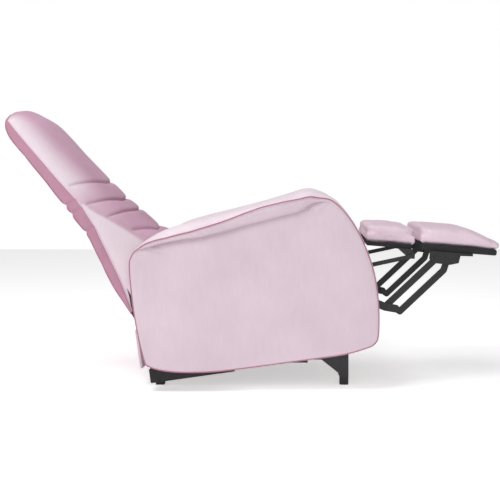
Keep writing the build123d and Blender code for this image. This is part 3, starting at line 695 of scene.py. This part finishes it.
def front_point(a, v):
    """A point on the front, a from -1 at the right seam to 1 at the left one."""
    seam, middle, _, _, half = back_row(v)
    lumbar = 1 - eased(v, 8, 12)
    power = 2.4 + 0.9 * lumbar
    share = (1 - abs(a) ** power) ** (0.62 + 0.18 * lumbar)
    x = seam[0] + (middle[0] - seam[0]) * share
    z = seam[1] + (middle[1] - seam[1]) * (1 - abs(a) ** 1.7)
    nearest, fullness = from_channel(v)
    bolster = between(v, BOLSTER_LINE)
    inside = 1 - eased(abs(a), bolster - 0.05, bolster + 0.012)
    x += inside * (5 * fullness - 3)
    in_groove = nearest * channel_spacing(v)
    depth = 8.0 if v < 9 else 7.0
    x -= inside * depth * math.exp(-abs(in_groove / 6.5) ** 1.35)
    cut = abs(abs(a) - bolster) * half
    x -= 6.5 * math.exp(-abs(cut / 6) ** 1.5) * (1 - eased(v, BOLSTER_TOP - 1, BOLSTER_TOP))
    return Vector((x, a * half, z))


# folds across the side bands, at the bends of the back: (row, depth in millimetres)
BAND_FOLDS = [(8.72, 9.0), (7.76, 6.0), (5.55, 6.5), (12.6, 1.5), (3.2, 1.5)]


def band_fold(v):
    """How deep the band is folded in at this row, in millimetres."""
    return sum(depth * math.exp(-abs((v - place) * 5.2) ** 1.4) for place, depth in BAND_FOLDS)


def band_point(v, t, side, pinch, top):
    """A point on a side band, t from 0 at the rear corner to 1 at the front seam."""
    seam, _, rear, _, half = back_row(v)
    swell = (5.5 * math.sqrt(math.sin(math.pi * t)) - pinch * (1 - 0.55 * t)) * (1 - top)
    swell += 0.9 * noise.noise(Vector((t * 2, v * 1.4, 5.0 * side)))
    x = rear[0] + (seam[0] - rear[0]) * t + pinch * 0.8 * (1 - t) ** 2
    return Vector((x, side * (half + swell), rear[1] + (seam[1] - rear[1]) * t))


def back_section(v):
    """One closed row around the back: rear, right band, front and left band."""
    _, _, rear, rear_middle, half = back_row(v)
    top = eased(v, 14.5, 17)
    pinch = band_fold(v)
    row = []
    for k in range(REAR_STEPS + 1):
        b = 1 - 2 * k / REAR_STEPS
        share = 1 - abs(b) ** 2.6
        rise = 1 - abs(b) ** (2.6 - 0.9 * top)
        x = rear[0] + (rear_middle[0] - rear[0]) * share + pinch * 0.8 * abs(b) ** 8
        row.append(Vector((x, b * half, rear[1] + (rear_middle[1] - rear[1]) * rise)))
    for k in range(1, GUSSET_STEPS):
        row.append(band_point(v, k / GUSSET_STEPS, -1, pinch, top))
    for k in range(FRONT_STEPS + 1):
        a = math.sin(math.pi / 2 * (2 * k / FRONT_STEPS - 1)) * 0.45 + (2 * k / FRONT_STEPS - 1) * 0.55
        row.append(front_point(a, v))
    for k in range(1, GUSSET_STEPS):
        row.append(band_point(v, 1 - k / GUSSET_STEPS, 1, pinch, top))
    return row


# %% [markdown]
# ## Wrapping the backrest
#
# The rows are joined upward one by one. The front wears the cushion velvet, painted darker as
# shade, and the sides and rear wear the band velvet, painted darker still as shade. A welt then
# covers each of the four seams, and it follows the folds of the side bands.

# %% The padded back
bm = bmesh.new()
row_count = (len(BACK_ROWS) - 1) * ROW_STEPS + 1
rows = [back_section(min(i / ROW_STEPS, len(BACK_ROWS) - 1 - 1e-6)) for i in range(row_count)]
loop = first_loop(bm, [back_frame @ (p * MM) for p in rows[0]])
front_first = REAR_STEPS + GUSSET_STEPS
front_last = front_first + FRONT_STEPS
for row in rows[1:]:
    loop = grow(bm, loop, [back_frame @ (p * MM) for p in row], 0)
section_count = len(rows[0])
bm.verts.index_update()
for face in bm.faces:
    if len(face.verts) == 4:
        columns = [vert.index % section_count for vert in face.verts]
        face.material_index = 0 if min(columns) >= front_first and max(columns) <= front_last else 1
# painted highlight: the sides of the front and the bolsters are marked for the paler colour, more so higher
# up the back, where they catch the light
brushed_and_painted_light = bm.verts.layers.float.new("brushed_and_painted_light")
for vert in bm.verts:
    number, column = divmod(vert.index, section_count)
    if front_first <= column <= front_last:
        v = number / ROW_STEPS
        a = abs(2 * (column - front_first) / FRONT_STEPS - 1)
        side_light = eased(a, 0.42, 0.98) * (0.35 + 0.65 * eased(v, 8.0, 10.5))
        bolster = between(v, BOLSTER_LINE)
        on_bolster = eased(a, bolster - 0.06, bolster) if v < BOLSTER_TOP else 0
        vert[brushed_and_painted_light] = max(side_light, on_bolster)
close_holes(bm)
finished("padded_back", bm, [cushion_velvet, band_velvet], "back",
         ("back_cushion", "outer_back"), 1)
for side_name, side in (("right", -1), ("left", 1)):
    front_seam, rear_seam = [], []
    for i in range(row_count - 4):
        v = i / ROW_STEPS
        seam, _, rear, _, half = back_row(v)
        fold = band_fold(v)
        front_seam.append(back_frame @ (Vector((seam[0], side * (half + 0.5 - 0.45 * fold), seam[1])) * MM))
        rear_seam.append(back_frame @ (Vector((rear[0] + 0.8 * fold, side * (half - fold), rear[1])) * MM))
    # the front welt is painted paler, a painted highlight; the rear welt is painted darker, a painted shade
    welt(f"back_front_welt_{side_name}", front_seam, 1.9 * MM, painted_highlight_welt_velvet, "back")
    welt(f"back_rear_welt_{side_name}", rear_seam, 1.5 * MM, painted_shade_welt_velvet, "back")

# %% [markdown]
# ## Stuffed pads
#
# The seat cushion and the two footrest pads are foam in a stretched cover. Foam rounds its
# edges and crowns in the middle, and the cover pulls in between the corners. A short cloth
# simulation gives that: the pad starts a little too small, air pressure inside swells it, and
# how far any point may travel is capped.

# %% Pad helpers
def pad_block(low_corner, high_corner, cuts, round_top, round_base):
    """A box cut into small faces, its top edges well rounded and its base edges less so."""
    bm = bmesh.new()
    bmesh.ops.create_cube(bm, size=2.0)
    bmesh.ops.subdivide_edges(bm, edges=bm.edges, cuts=cuts, use_grid_fill=True)
    low, high = Vector(low_corner), Vector(high_corner)
    centre, half = (low + high) / 2, (high - low) / 2
    for vert in bm.verts:
        rounding = round_top if vert.co.z > 0 else round_base
        inner = Vector([max(-h + r, min(h - r, c * h)) for c, h, r in zip(vert.co, half, rounding)])
        out = Vector([c * h for c, h in zip(vert.co, half)]) - inner
        scaled_out = Vector([o / r for o, r in zip(out, rounding)])
        if scaled_out.length > 1e-6:
            scaled_out = scaled_out.normalized() * max(abs(c) for c in scaled_out)
        vert.co = centre + inner + Vector([o * r for o, r in zip(scaled_out, rounding)])
    return bm


def puffed(bm, voxel, travel, pressure=4.0):
    """Swell a closed shape with a short cloth simulation, and cap how far it moves."""
    mesh = bpy.data.meshes.new("swelling")
    bm.to_mesh(mesh)
    bm.free()
    pad = bpy.data.objects.new("swelling", mesh)
    bpy.context.scene.collection.objects.link(pad)
    bpy.context.view_layer.objects.active = pad
    remesh = pad.modifiers.new("voxels", "REMESH")
    remesh.mode = "VOXEL"
    remesh.voxel_size = voxel
    bpy.ops.object.modifier_apply(modifier="voxels")
    start = [vert.co.copy() for vert in pad.data.vertices]
    cloth = pad.modifiers.new("cloth", "CLOTH")
    cloth.settings.use_pressure = True
    cloth.settings.uniform_pressure_force = pressure
    cloth.settings.effector_weights.gravity = 0
    cloth.settings.quality = 4
    for step in range(1, 21):
        bpy.context.scene.frame_set(step)
    bpy.ops.object.modifier_apply(modifier="cloth")
    bpy.context.scene.frame_set(1)
    swollen = bmesh.new()
    swollen.from_mesh(pad.data)
    swollen.verts.ensure_lookup_table()
    furthest = 0.0
    for vert, place in zip(swollen.verts, start):
        move = vert.co - place
        if move.length > travel:
            vert.co = place + move.normalized() * travel
        furthest = max(furthest, (vert.co - place).length)
    bmesh.ops.smooth_vert(swollen, verts=swollen.verts, factor=0.4,
                          use_axis_x=True, use_axis_y=True, use_axis_z=True)
    bpy.data.objects.remove(pad)
    print("swelled by up to", round(furthest * 1000, 1), "mm")
    return swollen


def placed(bm, matrix):
    """The same shape, moved by a matrix."""
    bmesh.ops.transform(bm, matrix=matrix, verts=bm.verts)
    return bm


# %% [markdown]
# ## The seat cushion
#
# The cushion is a rounded block with a low crown, highest in the middle of the seat. It is
# shaped upright and level, swelled, and then tipped back with the seat.

# %% The seat cushion
SEAT_HALF_WIDTH = 0.256
SEAT_MIDDLE = 0.11          # the crown's place along the seat
SEAT_CROWN = 0.008
seat_pad = pad_block((-0.180, -SEAT_HALF_WIDTH, 0.219), (0.402, SEAT_HALF_WIDTH, 0.318), 26,
                     (0.05, 0.03, 0.045), (0.03, 0.025, 0.03))
for vert in seat_pad.verts:
    across = 1 - abs(vert.co.y / SEAT_HALF_WIDTH) ** 2.5
    along = 1 - abs((vert.co.x - SEAT_MIDDLE) / 0.30) ** 4
    if vert.co.z > 0.27:
        vert.co.z += SEAT_CROWN * across * max(0, along)
seat_pad = puffed(seat_pad, 0.006, 0.008)
finished("seat_cushion_cover", placed(seat_pad, seat_frame), [painted_highlight_pad_velvet], "seat",
         ("seat_cushion",), 1)

# %% [markdown]
# ## The two footrest pads
#
# Both are thin pads on boards. The main one slopes off toward the toes, and the middle one
# crowns between the main pad and the seat. Each rides its own board, so both fold away with
# the footrest.

# %% The two footrest pads
MAIN_HALF_WIDTH = 0.252
MAIN_CROWN = 0.009
MAIN_TOE_DROP = 0.026       # how far the pad's top slopes off at the toes
main_pad = pad_block((-0.003, -MAIN_HALF_WIDTH, 0.0215), (0.264, MAIN_HALF_WIDTH, 0.066), 24,
                     (0.050, 0.035, 0.036), (0.008, 0.012, 0.008))
for vert in main_pad.verts:
    height = (vert.co.z - 0.021) / 0.045
    across = 1 - abs(vert.co.y / MAIN_HALF_WIDTH) ** 4
    far = eased(vert.co.x, 0.15, 0.262)
    if height > 0:
        vert.co.z += height * (MAIN_CROWN * across * (1 - far) - MAIN_TOE_DROP * far)
        vert.co.x += 0.010 * far * height
main_pad = puffed(main_pad, 0.005, 0.006)
finished("footrest_cover", placed(main_pad, foot_frame), [painted_highlight_pad_velvet], "footrest",
         ("footrest_pad",), 1)

MID_HALF_WIDTH = 0.232
MID_CROWN = 0.007
mid_pad = pad_block((-0.006, -MID_HALF_WIDTH, 0.0135), (0.163, MID_HALF_WIDTH, 0.062), 22,
                    (0.060, 0.035, 0.042), (0.008, 0.012, 0.008))
for vert in mid_pad.verts:
    across = 1 - abs(vert.co.y / MID_HALF_WIDTH) ** 4
    if vert.co.z > 0.03:
        vert.co.z += MID_CROWN * across * math.sin(math.pi * vert.co.x / 0.160)
mid_pad = puffed(mid_pad, 0.005, 0.006)
finished("mid_rest_cover", placed(mid_pad, mid_frame), [painted_highlight_pad_velvet], "mid_rest",
         ("mid_rest_pad",), 1)

# %% [markdown]
# ## The rear panel
#
# A board covered in the arm's velvet closes the lower rear. Its cloth bellies out slightly.

# %% The rear panel
PANEL_HALF_WIDTH = 0.266
PANEL_BELLY = 0.003
rear_board = pad_block((-0.3785, -PANEL_HALF_WIDTH, -0.0405), (-0.3675, PANEL_HALF_WIDTH, 0.0915), 20,
                       (0.0045, 0.006, 0.006), (0.0045, 0.006, 0.006))
for vert in rear_board.verts:
    if vert.co.x < -0.373:
        across = 1 - abs(vert.co.y / PANEL_HALF_WIDTH) ** 6
        vert.co.x -= PANEL_BELLY * across * math.sin(math.pi * (vert.co.z + 0.0405) / 0.132)
finished("rear_panel_cover", placed(rear_board, seat_frame), [panel_velvet], "seat",
         ("rear_panel",), 1)

# %% [markdown]
# ## Floor and light
#
# The chair stands on a plain pale floor. Three large soft lights shine from high behind the
# right arm, from beside the camera and from overhead, and a dim even sky fills the shadows. The
# sky gives less light than it shows, so the background stays white while the velvet keeps its
# shading.

# %% The studio
WHITE = (1, 1, 1, 1)
floor_grid = bmesh.new()
bmesh.ops.create_grid(floor_grid, x_segments=1, y_segments=1, size=6.0)
floor_mesh = bpy.data.meshes.new("floor")
floor_grid.to_mesh(floor_mesh)
floor_grid.free()
floor = bpy.data.objects.new("floor", floor_mesh)
bpy.context.scene.collection.objects.link(floor)
floor_material, _, shader, _ = start_material("pale_floor")
shader.inputs["Base Color"].default_value = (0.95, 0.95, 0.95, 1)
shader.inputs["Emission Color"].default_value = WHITE
shader.inputs["Emission Strength"].default_value = 0.5
shader.inputs["Roughness"].default_value = 0.9
shader.inputs["Specular IOR Level"].default_value = 0.1
floor_mesh.materials.append(floor_material)


def soft_light(name, place, target, size, watts):
    """A square area light at a place, turned toward a target."""
    data = bpy.data.lights.new(name, "AREA")
    data.shape = "SQUARE"
    data.size = size
    data.energy = watts
    light = bpy.data.objects.new(name, data)
    light.location = place
    light.rotation_euler = (Vector(target) - Vector(place)).to_track_quat("-Z", "Y").to_euler()
    bpy.context.scene.collection.objects.link(light)


chair_middle = (0, 0, 0.45)
soft_light("key_light", (-1.1, -1.9, 3.3), chair_middle, 1.4, 56)
soft_light("front_light", (0.2, -4.4, 1.5), chair_middle, 2.0, 23)
soft_light("top_light", (-0.3, 0.1, 3.6), (0, 0, 0.4), 2.0, 25)
world = bpy.data.worlds.new("studio")
world.use_nodes = True
sky = world.node_tree
sky_light = sky.nodes["Background"]
sky_light.inputs["Color"].default_value = WHITE
sky_light.inputs["Strength"].default_value = 0.33
sky_seen = sky.nodes.new("ShaderNodeBackground")
sky_seen.inputs["Color"].default_value = WHITE
sky_choice = sky.nodes.new("ShaderNodeMixShader")
light_path = sky.nodes.new("ShaderNodeLightPath")
sky.links.new(light_path.outputs["Is Camera Ray"], sky_choice.inputs["Fac"])
sky.links.new(sky_light.outputs["Background"], sky_choice.inputs[1])
sky.links.new(sky_seen.outputs["Background"], sky_choice.inputs[2])
sky.links.new(sky_choice.outputs["Shader"], sky.nodes["World Output"].inputs["Surface"])
bpy.context.scene.world = world
bpy.context.scene.view_settings.view_transform = "Standard"
print("three soft lights and a pale floor")
